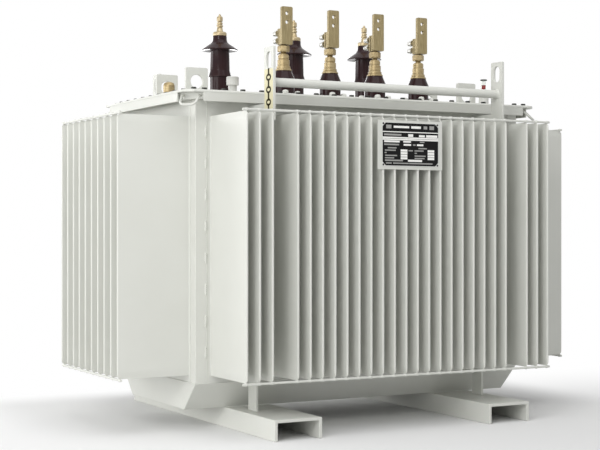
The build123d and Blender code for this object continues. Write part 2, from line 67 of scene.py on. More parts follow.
def add(tree, kind, inputs=None, **settings):
    """Add a shader node with its settings; an input takes a value, or a link from another node's output."""
    made = tree.nodes.new("ShaderNode" + kind)
    for name, value in settings.items():
        setattr(made, name, value)
    for socket, value in (inputs or {}).items():
        if isinstance(value, bpy.types.NodeSocket):
            tree.links.new(value, made.inputs[socket])
        else:
            made.inputs[socket].default_value = value
    return made


def open_material(name):
    """A new material with an empty tree: the material, the tree and its Object coordinates."""
    made = bpy.data.materials.new(name)
    made.use_nodes = True
    made.node_tree.nodes.clear()
    return made, made.node_tree, add(made.node_tree, "TexCoord").outputs["Object"]


def noise(tree, place, size_mm, detail):
    """Soft noise whose patches are about so many millimetres wide."""
    return add(tree, "TexNoise", {"Vector": place, "Scale": 1000 / size_mm, "Detail": detail}).outputs["Fac"]


def spread(tree, grey, middle, swing):
    """A grey pattern brought to run from the swing below a middle value to the swing above it."""
    ends = {"To Min": middle - swing, "To Max": middle + swing}
    return add(tree, "MapRange", {"Value": grey, **ends}).outputs["Result"]


def blend(tree, share, colour, other):
    """Two hex colours mixed by a share of the second."""
    return add(tree, "Mix", {0: share, 6: linear(colour), 7: linear(other)}, data_type="RGBA").outputs[2]


def relief(tree, grey, strength, depth):
    """A grey pattern as a faint relief, its depth in metres."""
    return add(tree, "Bump", {"Height": grey, "Strength": strength, "Distance": depth}).outputs["Normal"]


def surface(tree, inputs):
    """Close a tree with a Principled shader that has these inputs."""
    shader = add(tree, "BsdfPrincipled", inputs)
    add(tree, "OutputMaterial", {"Surface": shader.outputs["BSDF"]})


def sprayed_enamel(name, colour, cloud_colour, roughness):
    """Satin enamel sprayed on steel: soft broad highlights, a faint orange peel and hardly any change of
    tone. The peel is drawn several times coarser than the real one, or it would not show."""
    made, tree, place = open_material(name)
    cloud = noise(tree, place, PAINT_CLOUD_MM, detail=3.0)
    peel = noise(tree, place, PAINT_GRAIN_MM, detail=1.0)
    surface(tree, {"Base Color": blend(tree, cloud, colour, cloud_colour), "IOR": 1.5,
                   "Roughness": spread(tree, cloud, roughness, swing=0.06),
                   "Normal": relief(tree, peel, strength=0.12, depth=0.0008)})
    return made


def unit(vectors):
    """Vectors scaled to length one."""
    return vectors / np.linalg.norm(vectors, axis=-1, keepdims=True)


def rounded(corners, radii, closed=True, steps=5):
    """Round the corners of an outline or path with arcs tangent to both sides: each arc's centre lies on the
    corner's bisector, the radius over the sine of half the angle away. An open path keeps its two ends."""
    points = np.asarray(corners, float)
    back = unit(np.roll(points, 1, 0) - points)
    ahead = unit(np.roll(points, -1, 0) - points)
    half = np.arccos((back * ahead).sum(1))[:, None] / 2
    radius = np.broadcast_to(np.asarray(radii, float), len(points))[:, None]
    centre = points + unit(back + ahead) * radius / np.sin(half)
    start = points + back * radius / np.tan(half) - centre
    end = points + ahead * radius / np.tan(half) - centre
    turn = np.pi - 2 * half[:, None]
    share = np.linspace(0, 1, steps + 1)[None, :, None]
    swing = np.sin((1 - share) * turn) * start[:, None] + np.sin(share * turn) * end[:, None]
    arcs = centre[:, None] + swing / np.sin(turn)
    if closed:
        return arcs.reshape(-1, points.shape[1])
    return np.vstack([points[:1], arcs[1:-1].reshape(-1, points.shape[1]), points[-1:]])


def shell(rings, looped=False):
    """A closed shell through a stack of closed rings, an array of rings by points by 3: quads join each ring
    to the next, and the first and last rings are filled, or joined to each other where the stack is looped.
    A shape is its points, its faces' corners and its faces' sizes."""
    rings = np.asarray(rings, float)
    corner = np.arange(rings.shape[0] * rings.shape[1]).reshape(rings.shape[:2])
    low = corner if looped else corner[:-1]
    high = np.roll(corner, -1, 0)[:len(low)]
    quads = np.stack([low, np.roll(low, -1, 1), np.roll(high, -1, 1), high], -1)
    sizes = np.full(quads.size // 4, 4)
    if looped:
        return rings.reshape(-1, 3), quads.ravel(), sizes
    corners = np.concatenate([quads.ravel(), corner[0, ::-1], corner[-1]])
    return rings.reshape(-1, 3), corners, np.append(sizes, [rings.shape[1], rings.shape[1]])


def joined(shapes):
    """Several shapes as one."""
    points, corners, sizes = zip(*shapes)
    first = np.cumsum([0] + [len(part) for part in points[:-1]])
    return np.vstack(points), np.concatenate([c + f for c, f in zip(corners, first)]), np.concatenate(sizes)


def copies(shape, places):
    """The same shape moved to each place, as one shape."""
    points, corners, sizes = shape
    places = np.asarray(places, float).reshape(-1, 1, 3)
    first = np.arange(len(places))[:, None] * len(points)
    return (places + points).reshape(-1, 3), (first + corners).ravel(), np.tile(sizes, len(places))


def dress(made, finish, edge, sharp):
    """Give a new piece its finish and smooth faces, and round its sharp edges by the edge's width."""
    made.data.materials.append(finish)
    made.data.polygons.foreach_set("use_smooth", np.ones(len(made.data.polygons), bool))
    made.data.set_sharp_from_angle(angle=math.radians(sharp))
    bpy.context.scene.collection.objects.link(made)
    if edge:
        rounding = made.modifiers.new("rounded_edges", "BEVEL")
        rounding.width = edge / 1000
        rounding.segments = 2
        rounding.limit_method = "ANGLE"
        rounding.angle_limit = math.radians(sharp)
        rounding.harden_normals = True
    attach(made, "root")
    return made


def piece(name, shape, finish, edge=0.0, sharp=SHARP_ANGLE):
    """A new piece from a shape in millimetres, with doubled points merged and all faces turned outwards."""
    points, corners, sizes = shape
    mesh = bpy.data.meshes.new(name)
    mesh.vertices.add(len(points))
    mesh.vertices.foreach_set("co", (points / 1000).ravel())
    mesh.loops.add(len(corners))
    mesh.loops.foreach_set("vertex_index", corners)
    mesh.polygons.add(len(sizes))
    mesh.polygons.foreach_set("loop_start", np.cumsum(sizes) - sizes)
    mesh.update(calc_edges=True)
    work = bmesh.new()
    work.from_mesh(mesh)
    bmesh.ops.remove_doubles(work, verts=work.verts, dist=1e-6)
    bmesh.ops.recalc_face_normals(work, faces=work.faces)
    work.to_mesh(mesh)
    work.free()
    return dress(bpy.data.objects.new(name, mesh), finish, edge, sharp)


def span(node):
    """A node's lowest and highest corners in millimetres."""
    low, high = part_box(node)
    return np.array(low) * 1000, np.array(high) * 1000


def channel(low, high):
    """A channel that lies toes down along Y: a plate section, from the outer to the inner face and from end
    to end, carried up one flange, over the web and down the other, so that each ring is an oblong."""
    across = np.array([low[0], low[0], high[0], high[0]])
    up = np.array([low[2], high[2], high[2], low[2]])
    outer = rounded(np.stack([across, up], 1), CHANNEL_HEEL, closed=False)
    across = across + CHANNEL_FLANGE * np.array([1, 1, -1, -1])
    up = up - CHANNEL_WEB * np.array([0, 1, 1, 0])
    inner = rounded(np.stack([across, up], 1), CHANNEL_ROOT, closed=False)
    corners = [np.insert(face, 1, end, axis=1)
               for face, end in ((outer, low[1]), (outer, high[1]), (inner, high[1]), (inner, low[1]))]
    return shell(np.stack(corners, 1))


enamel = sprayed_enamel("sprayed_grey_enamel", PAINT, PAINT_CLOUD, roughness=0.42)
for side in ("left", "right"):
    skid = piece(f"channel_skid_{side}", channel(*span(f"skid_{side}")), enamel, CHANNEL_EDGE)
    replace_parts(skid, f"skid_{side}")

# Tank bottom and corner angles
# The bottom is a folded trough of plate, and an angle stands at each corner. Both are welded steel in the
# same enamel: beads run round the trough's rim, up the walls' seams with the angles and across the skids, and
# short stitches tie the long walls to the angles.
BEAD = 2.6
SEAM_BEAD = 1.4
STITCH_BEAD = 4.2
STITCH_LENGTH = 44.0
STITCH_ASIDE = 4.0
STITCH_LEVELS = np.linspace(262.0, 980.0, 8)
FOOT_BEAD = 4.0
BEAD_RIPPLE_MM = 7.0
BEAD_SWELL = 0.16
BEAD_END = 0.25
BOTTOM_HALF_WIDTH = 227.0


def softened(name, node, finish, edge):
    """A copy of a node's mesh that stands for the node: its split corners are merged, its flat neighbours
    joined and its edges rounded."""
    work = bmesh.new()
    work.from_mesh(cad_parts[node].data)
    bmesh.ops.remove_doubles(work, verts=work.verts, dist=1e-5)
    bmesh.ops.dissolve_limit(work, angle_limit=math.radians(0.5), verts=work.verts, edges=work.edges)
    mesh = bpy.data.meshes.new(name)
    work.to_mesh(mesh)
    work.free()
    if "custom_normal" in mesh.attributes:
        mesh.attributes.remove(mesh.attributes["custom_normal"])
    made = dress(bpy.data.objects.new(name, mesh), finish, edge, SHARP_ANGLE)
    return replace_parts(made, node)


def tube(path, radius, sides=10):
    """A round bar along a path that is nowhere upright: each ring lies across the path's direction."""
    path = np.asarray(path, float)
    ahead = unit(np.gradient(path, axis=0))
    across = unit(np.cross(ahead, (0, 0, 1)))
    up = np.cross(across, ahead)
    turn = np.linspace(0, 2 * np.pi, sides, endpoint=False)[None, :, None]
    reach = np.broadcast_to(radius, len(path))[:, None, None]
    return shell(path[:, None] + reach * (np.cos(turn) * across[:, None] + np.sin(turn) * up[:, None]))


def bead(start, end, radius=BEAD):
    """A weld bead between two points of one level: a bar whose radius swells with each ripple and fades out
    at its two ends."""
    start, end = np.asarray(start, float), np.asarray(end, float)
    length = np.linalg.norm(end - start)
    along = np.linspace(0, 1, int(length / BEAD_RIPPLE_MM * 4) + 2)
    swell = 1 + BEAD_SWELL * np.cos(2 * np.pi * along * length / BEAD_RIPPLE_MM)
    fade = np.clip(np.minimum(along, 1 - along) * length / (2 * radius), BEAD_END, 1)
    return tube(start + along[:, None] * (end - start), radius * swell * fade, sides=8)


def upright(shape):
    """A shape along X turned to run along Z."""
    points, corners, sizes = shape
    return points[:, [2, 1, 0]] * (1, -1, 1), corners, sizes


def quartet(x, y, z=0.0):
    """A place and its mirror images across the transformer's two middle planes."""
    return [(sx * x, sy * y, z) for sx in (-1, 1) for sy in (-1, 1)]


softened("tank_trough", "tank_bottom", enamel, edge=3.0)
softened("corner_angles", "tank_corners", enamel, edge=3.0)

tank_low, tank_high = span("tank_corners")
rim = tank_low[2]
wall_x, wall_y = tank_high[:2]
seam_x = span("front_fin_wall")[1][0]
seam_y = span("left_fin_wall")[1][1]
rim_beads = [bead((-wall_x, side * wall_y, rim), (wall_x, side * wall_y, rim)) for side in (-1, 1)]
rim_beads += [bead((side * wall_x, -wall_y, rim), (side * wall_x, wall_y, rim)) for side in (-1, 1)]
seam = upright(bead((rim, 0, 0), (tank_high[2], 0, 0), SEAM_BEAD))
seams = copies(seam, quartet(seam_x, wall_y) + quartet(wall_x, seam_y))
stitch = upright(bead((-STITCH_LENGTH / 2, 0, 0), (STITCH_LENGTH / 2, 0, 0), STITCH_BEAD))
stitches = copies(stitch, [quartet(seam_x + STITCH_ASIDE, wall_y, level) for level in STITCH_LEVELS])
piece("tank_welds", joined([*rim_beads, seams, stitches]), enamel)

skid_beads = []
for side in ("left", "right"):
    low, high = span(f"skid_{side}")
    skid_beads += [bead((low[0], y, high[2]), (high[0], y, high[2]), FOOT_BEAD)
                   for y in (-BOTTOM_HALF_WIDTH, BOTTOM_HALF_WIDTH)]
piece("skid_welds", joined(skid_beads), enamel)

# Fin walls
# Each wall is one steel sheet folded into deep narrow fins full of oil, and welded to the corner angles. A
# fin is round at its tip and root. Its ends are pressed flat and welded shut, with the tip's corners cut off.
FIN_HALF = 4.0
FIN_PINCHED_HALF = 1.5
FIN_PINCH = 26.0
FIN_CORNER_CUT = 8.0
FIN_CUT_STEPS = (0.0, 2.0, 5.0)
FIN_ROOT_ROUNDING = 5.0
FIN_BEHIND = 2.0
FIN_FOOT = 186.0
FIN_TOP = 1032.0
WALL_SHEET = 5.0
WALL_SHARP_ANGLE = 50.0
FRONT_FIN_PITCH = 45.0
FRONT_FIN_SLOTS = 27
POST_SLOT = 3
SIDE_FIN_PITCH = 60.0
SIDE_FIN_COUNT = 10


def fin(depth):
    """One fin along the wall's direction, its depth and height. Its half thickness rises by a smooth step
    from the pinched ends to the full fold, its depth falls by the cut corner at each end, and each ring is a
    plan view: root arc, flat side, half-round tip, and the same mirrored, closed behind the sheet."""
    near = np.concatenate([FIN_CUT_STEPS, np.linspace(FIN_CORNER_CUT, FIN_PINCH, 7)])
    level = np.concatenate([FIN_FOOT + near, (FIN_TOP - near)[::-1]])
    from_end = np.minimum(level - FIN_FOOT, FIN_TOP - level)
    share = np.clip(from_end / FIN_PINCH, 0, 1)
    half = FIN_PINCHED_HALF + (FIN_HALF - FIN_PINCHED_HALF) * share * share * (3 - 2 * share)
    reach = depth - np.clip(FIN_CORNER_CUT - from_end, 0, None)
    bend = np.linspace(0, np.pi / 2, 5)
    half, reach, level = half[:, None], reach[:, None], level[:, None]
    root_along = half + FIN_ROOT_ROUNDING * (1 - np.sin(bend))
    root_out = np.broadcast_to(FIN_ROOT_ROUNDING * (1 - np.cos(bend)), root_along.shape)
    tip_along = half * np.cos(bend)
    tip_out = reach - half + half * np.sin(bend)
    behind = np.full_like(half, -FIN_BEHIND)
    along = np.hstack([half + FIN_ROOT_ROUNDING, root_along, tip_along])
    out = np.hstack([behind, root_out, tip_out])
    along = np.hstack([along, -along[:, -2::-1]])
    out = np.hstack([out, out[:, -2::-1]])
    return shell(np.stack([along, out, np.broadcast_to(level, along.shape)], -1))


def spaced(count, pitch):
    """Evenly spaced places along a line, about its middle."""
    return (np.arange(count) - (count - 1) / 2) * pitch


def oblong(across, up, width, height):
    """An oblong outline about a middle."""
    half = np.array([(-width, -height), (width, -height), (width, height), (-width, height)]) / 2
    return half + (across, up)


def prism(outline, low, high, axis):
    """An outline of two coordinates carried straight from low to high along the third one, the axis."""
    outline = np.asarray(outline, float)
    return shell(np.array([np.insert(outline, axis, level, axis=1) for level in (low, high)]))


def stood(shape, along, outward, place):
    """A shape of wall direction, depth and height turned to a wall that faces outward, and set in place."""
    points, corners, sizes = shape
    turn = np.array([along, outward, (0, 0, 1)], float)
    return points @ turn + np.asarray(place, float), corners, sizes


front_fins = np.delete(spaced(FRONT_FIN_SLOTS, FRONT_FIN_PITCH), [POST_SLOT, -1 - POST_SLOT])
side_fins = spaced(SIDE_FIN_COUNT, SIDE_FIN_PITCH)
walls = {
    "front": ((1, 0, 0), (0, -1, 0), (0, -wall_y, 0), front_fins),
    "back": ((-1, 0, 0), (0, 1, 0), (0, wall_y, 0), front_fins),
    "left": ((0, -1, 0), (-1, 0, 0), (-wall_x, 0, 0), side_fins),
    "right": ((0, 1, 0), (1, 0, 0), (wall_x, 0, 0), side_fins),
}
fin_depths = {}
for name, (along, outward, place, fins) in walls.items():
    low, high = span(f"{name}_fin_wall")
    fin_depths[name] = max(low @ outward, high @ outward) - np.dot(place, outward)
    plan = oblong(0, -WALL_SHEET / 2, (high - low) @ np.abs(along), WALL_SHEET)
    ranks = copies(fin(fin_depths[name]), np.stack([fins, 0 * fins, 0 * fins], 1))
    wall = stood(joined([prism(plan, low[2], high[2], axis=2), ranks]), along, outward, place)
    folded = piece(f"folded_{name}_wall", wall, enamel, sharp=WALL_SHARP_ANGLE)
    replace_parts(folded, f"{name}_fin_wall")

# Tie rods
# Thin round bars lie across the fin ends, above and below, and keep the fins apart. They are steel, painted
# with the tank, and tacked to every fin, so that each bar has a small lump of weld at each fin.
ROD_RADIUS = 4.0
ROD_INSET = 9.0
ROD_OVERRUN = 8.0
ROD_STEP = 2.5
TACK_RISE = 1.8
TACK_WIDTH = 5.0


def tacked_rod(fins, depth, level):
    """A bar along a wall whose radius swells over each fin as a bell curve of the distance to it."""
    end = fins[-1] + FIN_HALF + ROD_OVERRUN
    along = np.linspace(-end, end, int(2 * end / ROD_STEP))
    nearest = np.abs(along[:, None] - fins).min(1)
    swell = ROD_RADIUS + TACK_RISE * np.exp(-(nearest / TACK_WIDTH) ** 2)
    path = np.stack([along, np.full_like(along, depth - ROD_INSET), np.full_like(along, level)], 1)
    return tube(path, swell)


for end_name, level in (("top", FIN_TOP + ROD_RADIUS), ("bottom", FIN_FOOT - ROD_RADIUS)):
    rods = [stood(tacked_rod(fins, fin_depths[name], level), along, outward, place)
            for name, (along, outward, place, fins) in walls.items()]
    rod_piece = piece(f"tacked_{end_name}_rods", joined(rods), enamel)
    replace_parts(rod_piece, f"{end_name}_tie_rods")

# Flange and lid
# The lid is a steel plate, cut at its corners and rounded over along its sides, with a strip hanging from
# each side. It is bolted all round to the flange on the tank, with hexagon bolts of blackened steel on
# washers.
BOLT_STEEL = "#3b3b38"
BOLT_FLATS = 15.0
BOLT_HEIGHT = 6.0
WASHER = 19.0
WASHER_HEIGHT = 2.0
BOLT_PITCH = 69.0
LONG_ROW_BOLTS = 19
END_ROW_BOLTS = 9
BOLT_ROW_INSET = 32.0
BOLT_END_INSET = 36.0
CORNER_BOLT = (660.0, 341.0)
HEXAGON_TRIM = 1.02


def metal(name, colour, roughness, grain_mm):
    """Bare or plated metal: mirror-like where it faces a light, with a slightly uneven, worn gloss."""
    made, tree, place = open_material(name)
    grain = noise(tree, place, grain_mm, detail=3.0)
    surface(tree, {"Base Color": linear(colour), "Metallic": 1.0,
                   "Roughness": spread(tree, grain, roughness, swing=0.1),
                   "Normal": relief(tree, grain, strength=0.15, depth=0.0004)})
    return made


def hexagon(flats, foot, height, bevel=1.2):
    """A hexagon nut or head on the Z axis: the radius is half the flats over the cosine of the angle to the
    nearest flat, and at both ends a cone trims the corners."""
    turn = np.linspace(0, 2 * np.pi, 24, endpoint=False)
    wide = flats / 2 / np.cos((turn + np.pi / 6) % (np.pi / 3) - np.pi / 6)
    trimmed = np.minimum(wide, flats / 2 * HEXAGON_TRIM)
    radius = np.array([trimmed, wide, wide, trimmed])
    level = foot + np.array([0, bevel, height - bevel, height])
    level = np.broadcast_to(level[:, None], radius.shape)
    return shell(np.stack([radius * np.cos(turn), radius * np.sin(turn), level], -1))


def turned(profile, sides):
    """A profile of radius and height turned about the Z axis, filled at both ends."""
    profile = np.asarray(profile, float)
    turn = np.linspace(0, 2 * np.pi, sides, endpoint=False)
    radius, level = profile[:, :1], np.broadcast_to(profile[:, 1:], (len(profile), sides))
    return shell(np.stack([radius * np.cos(turn), radius * np.sin(turn), level], -1))


softened("bolted_flange", "tank_flange", enamel, edge=1.0)
softened("lid_sheet", "lid", enamel, edge=0.8)
softened("lid_strips", "lid_skirts", enamel, edge=1.2)

black_steel = metal("blackened_bolt_steel", BOLT_STEEL, roughness=0.38, grain_mm=6.0)
lid_x, lid_y, lid_top = span("lid")[1]
row_x, row_y = lid_x - BOLT_END_INSET, lid_y - BOLT_ROW_INSET
bolt_places = [(x, side * row_y, lid_top) for x in spaced(LONG_ROW_BOLTS, BOLT_PITCH) for side in (-1, 1)]
bolt_places += [(side * row_x, y, lid_top) for y in spaced(END_ROW_BOLTS, BOLT_PITCH) for side in (-1, 1)]
bolt_places += quartet(*CORNER_BOLT, lid_top)
washer = turned([(WASHER / 2, 0), (WASHER / 2, WASHER_HEIGHT)], sides=24)
lid_bolt = joined([washer, hexagon(BOLT_FLATS, WASHER_HEIGHT, BOLT_HEIGHT)])
piece("lid_bolts", copies(lid_bolt, bolt_places), black_steel)

# Corner loops
# A bent round bar is welded to the flange at each cut corner, for lashing the transformer to a truck. It is
# steel in the tank's enamel: two shoulders run out level, slope down and meet in a bow.
LOOP_BAR = 8.0
LOOP_WIDTH = 56.0
LOOP_STUB = 12.0
LOOP_REACH = 46.0
LOOP_DROP = 32.0
LOOP_BENDS = [1.0, 9.0, 18.0, 18.0, 9.0, 1.0]
FLANGE_CORNER_CUT = 62.0

flange_low, flange_high = span("tank_flange")
loop_level = (flange_low[2] + flange_high[2]) / 2
half_loop = LOOP_WIDTH / 2
loop_path = rounded(
    [(0, -half_loop, 0), (LOOP_STUB, -half_loop, 0), (LOOP_REACH, -half_loop, -LOOP_DROP),
     (LOOP_REACH, half_loop, -LOOP_DROP), (LOOP_STUB, half_loop, 0), (0, half_loop, 0)],
    LOOP_BENDS, closed=False)
loop = tube(loop_path, LOOP_BAR / 2, sides=14)
corner_x, corner_y = flange_high[:2] - FLANGE_CORNER_CUT / 2
loops = []
for place in quartet(corner_x, corner_y, loop_level):
    outward = np.sign((*place[:2], 0)) / math.sqrt(2)
    loops.append(stood(loop, outward, np.cross((0, 0, 1), outward), place))
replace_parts(piece("lashing_loops", joined(loops), enamel), "corner_loops")

# Lifting posts and rails
# Flame-cut plates stand in the two gaps of each long wall, on legs down to the skids, and a round bar joins
# each pair above the lid. One post carries a pale adhesive strip, printed with a plain row of dark rings and
# links.
RAIL_WELD_RISE = 3.0
RAIL_WELD_WIDTH = 3.5
STRIP_YELLOW = "#ddd7b5"
STRIP_INK = "#2a260f"
STRIP_WIDTH = 58.0
STRIP_INSET = 4.0
STRIP_LOW = 1044.0
STRIP_HIGH = 1178.0
STRIP_CORNER = 3.0
STRIP_FILM = 0.4
RING_COUNT = 3
RING_PITCH = 40.0
RING_HALF_HEIGHT = 12.0
RING_HALF_WIDTH = 17.0
RING_BAND = 7.0
LINK_WIDTH = 10.0
LINK_HEIGHT = 17.0
MOTTLE_MM = 50 / 3


def film(name, colour, roughness):
    """Adhesive film or flat print: one dull even colour, with a faint mottling from the press."""
    made, tree, place = open_material(name)
    mottle = noise(tree, place, MOTTLE_MM, detail=2.0)
    value = spread(tree, mottle, 1.0, swing=0.06)
    tone = add(tree, "HueSaturation", {"Color": linear(colour), "Value": value})
    surface(tree, {"Base Color": tone.outputs["Color"], "Roughness": roughness, "IOR": 1.2})
    return made


def oval_ring(long, short, band, thick):
    """A flat oval ring in the plane of Y and Z: a small oblong section carried round an ellipse."""
    turn = np.linspace(0, 2 * np.pi, 32, endpoint=False)[:, None]
    inset, lift = np.array([(0, 0), (band, 0), (band, thick), (0, thick)]).T
    y, z = (short - inset) * np.cos(turn), (long - inset) * np.sin(turn)
    return shell(np.stack([np.broadcast_to(-lift, y.shape), y, z], -1), looped=True)


softened("wall_legs", "post_legs", enamel, edge=1.2)
for along_y in ("front", "back"):
    for along_x in ("left", "right"):
        post = f"{along_y}_{along_x}_lifting_post"
        softened(f"{along_y}_{along_x}_sling_post", post, enamel, edge=1.4)

rail_low, rail_high = span("rails")
rail_radius = (rail_high[2] - rail_low[2]) / 2
rail_level = (rail_high[2] + rail_low[2]) / 2
rail_y = rail_high[1] - rail_radius
rail_path = np.linspace((rail_low[0], 0, 0), (rail_high[0], 0, 0), 200)
from_post = np.minimum(rail_path[:, 0] - rail_low[0], rail_high[0] - rail_path[:, 0])
rail_weld = RAIL_WELD_RISE * np.exp(-(from_post / RAIL_WELD_WIDTH) ** 2)
rail_bar = tube(rail_path, rail_radius + rail_weld, sides=28)
bars = copies(rail_bar, [(0, side * rail_y, rail_level) for side in (-1, 1)])
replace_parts(piece("round_rails", bars, enamel), "rails")

post_x, post_y = span("front_left_lifting_post")[0][:2]
strip_y = post_y + STRIP_INSET + STRIP_WIDTH / 2
strip_z = (STRIP_LOW + STRIP_HIGH) / 2
strip_face = post_x - STRIP_FILM
strip_outline = rounded(oblong(strip_y, strip_z, STRIP_WIDTH, STRIP_HIGH - STRIP_LOW), STRIP_CORNER)
piece("sling_strip", prism(strip_outline, strip_face, post_x + STRIP_FILM / 2, axis=0),
      film("pale_yellow_film", STRIP_YELLOW, roughness=0.55))
ring = oval_ring(RING_HALF_HEIGHT, RING_HALF_WIDTH, RING_BAND, STRIP_FILM)
ring_row = copies(ring, [(strip_face, strip_y, strip_z + step) for step in spaced(RING_COUNT, RING_PITCH)])
link = prism(oblong(strip_y, strip_z, LINK_WIDTH, LINK_HEIGHT), strip_face - STRIP_FILM, strip_face, axis=0)
link_row = copies(link, [(0, 0, step) for step in spaced(RING_COUNT + 1, RING_PITCH)])
piece("strip_marks", joined([ring_row, link_row]), film("dark_print", STRIP_INK, roughness=0.6))

# High-voltage bushings
# Three tall insulators of turned porcelain stand on the lid at the back, each with a small skirt and one wide
# shed, glazed dark brown. A turned terminal of pale bronze tops each one, and a clamp ring with four claws
# holds its foot. Each outline runs from the foot up, as radius, height and rounding.
GLAZE = "#25151a"
GLAZE_CLOUD = "#33201f"
GLAZE_FLOW_MM = 30.0
GLAZE_WAVE_MM = 22.0
BRONZE = "#beb090"
BRONZE_SHADE = "#9b8865"
TURNED_STREAKS = (0.3, 0.3, 4.0)
WHITE_PAINT = "#dcdcd6"
HV_BASE = 37.0
HV_SKIRT = 42.5
HV_BODY = 35.0
HV_SHED = 67.0
HV_NECK = 26.0
HV_INSULATOR = [
    (HV_BASE, 0, 1), (HV_BASE, 107, 0.8), (HV_SKIRT, 107, 1.2), (HV_SKIRT, 110, 1.2), (HV_BASE, 131, 8),
    (HV_BODY, 210, 4), (HV_SHED, 205, 1.5), (HV_SHED, 209, 1.5), (HV_NECK, 236.65, 24), (HV_NECK, 259, 1.5),
    (4, 259, 1)]
HV_TERMINAL = [
    (4, 0, 1), (25.5, 0, 1.5), (25.5, 11, 2), (21.5, 15, 2), (12.5, 15, 1), (10, 31, 1.5), (7.5, 31, 0.5),
    (7.5, 33, 0.5), (12, 33, 1.2), (12, 40, 1.2), (8, 40, 0.5), (8, 43, 0.5), (11, 43, 1.2), (11, 50, 1.2),
    (7, 50, 0.5), (7, 53, 0.5), (11, 53, 3), (11, 73, 5.5), (4.5, 73, 0.8), (4.5, 78, 1), (1.5, 81, 1)]
HV_RING_OUTER = 56.0
HV_RING_HEIGHT = 14.0
RING_CLEARANCE = 0.2
RING_ROUNDING = [0.4, 0.4, 3.0, 1.0]
HV_CLAWS = 45.0
CLAW_ANGLES = np.radians([-110.0, -20.0, 70.0, 160.0])
CLAW_PAD = [(11, 14, 0.5), (11, 19, 1.5), (8, 21, 1.5), (3, 21, 0.5)]
CLAW_NUT_FLATS = 15.0
CLAW_NUT_HEIGHT = 7.0


def glazed_porcelain():
    """Dark brown glaze fired on porcelain: deep colour under a hard wet-looking gloss, crisp highlights."""
    made, tree, place = open_material("brown_glazed_porcelain")
    flow = noise(tree, place, GLAZE_FLOW_MM, detail=3.0)
    wave = noise(tree, place, GLAZE_WAVE_MM, detail=1.0)
    surface(tree, {"Base Color": blend(tree, flow, GLAZE, GLAZE_CLOUD), "Roughness": 0.12, "IOR": 1.25,
                   "Normal": relief(tree, wave, strength=0.1, depth=0.001)})
    return made


def brass(name, colour, shade, brushed_mm, stretch):
    """Cast or turned brass, dulled by handling: warm satin metal with streaks along the way it was worked."""
    made, tree, place = open_material(name)
    lie = add(tree, "Mapping", {"Vector": place, "Scale": stretch}).outputs["Vector"]
    streak = noise(tree, lie, brushed_mm, detail=4.0)
    share = add(tree, "MapRange", {"Value": streak, "From Min": 0.3, "From Max": 0.7}).outputs["Result"]
    surface(tree, {"Base Color": blend(tree, share, colour, shade), "Metallic": 0.65,
                   "Roughness": spread(tree, streak, 0.4, swing=0.1),
                   "Normal": relief(tree, streak, strength=0.2, depth=0.0005)})
    return made


def lathe(profile, sides, steps=5):
    """A profile of radius, height and rounding turned about the Z axis."""
    profile = np.asarray(profile, float)
    return turned(rounded(profile[:, :2], profile[:, 2], closed=False, steps=steps), sides)


def hoop(outline, sides=48):
    """A closed outline of radius and height turned about the Z axis into a ring."""
    turn = np.linspace(0, 2 * np.pi, sides, endpoint=False)[:, None]
    radius, level = np.asarray(outline, float).T
    level = np.broadcast_to(level, (sides, len(radius)))
    return shell(np.stack([radius * np.cos(turn), radius * np.sin(turn), level], -1), looped=True)


def clamp_ring(inner, outer, height):
    """The hoop of a clamp ring, with its upper edges rounded."""
    return hoop(rounded([(inner, 0), (outer, 0), (outer, height), (inner, height)], RING_ROUNDING))


def round_about(shape, radius):
    """A shape at each of the four claws round a bushing's axis."""
    places = [radius * np.cos(CLAW_ANGLES), radius * np.sin(CLAW_ANGLES), 0 * CLAW_ANGLES]
    return copies(shape, np.stack(places, 1))


def foot_centre(node):
    """The middle of a node's foot."""
    low, high = span(node)
    return np.array([(low[0] + high[0]) / 2, (low[1] + high[1]) / 2, low[2]])


porcelain = glazed_porcelain()
turned_bronze = brass("turned_pale_bronze", BRONZE, BRONZE_SHADE, brushed_mm=8.0, stretch=TURNED_STREAKS)
white_enamel = sprayed_enamel("sprayed_white_enamel", WHITE_PAINT, PAINT, roughness=0.4)
insulator = lathe(HV_INSULATOR, sides=64, steps=8)
terminal = lathe(HV_TERMINAL, sides=40)
hv_places = []
for number in (1, 2, 3):
    place = foot_centre(f"hv_porcelain_{number}")
    hv_places.append(place)
    body = piece(f"hv_insulator_{number}", copies(insulator, [place]), porcelain)
    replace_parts(body, f"hv_porcelain_{number}")
    contact_place = foot_centre(f"hv_terminal_{number}")
    contact = piece(f"hv_contact_{number}", copies(terminal, [contact_place]), turned_bronze)
    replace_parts(contact, f"hv_terminal_{number}")

hv_ring = clamp_ring(HV_BASE + RING_CLEARANCE, HV_RING_OUTER, HV_RING_HEIGHT)
hv_clamp = joined([hv_ring, round_about(lathe(CLAW_PAD, sides=20), HV_CLAWS)])
rings = piece("hv_foot_clamps", copies(hv_clamp, hv_places), white_enamel)
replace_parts(rings, "hv_clamp_rings")
claw_nut = hexagon(CLAW_NUT_FLATS, CLAW_PAD[-1][1], CLAW_NUT_HEIGHT)
piece("hv_clamp_nuts", copies(round_about(claw_nut, HV_CLAWS), hv_places), black_steel)

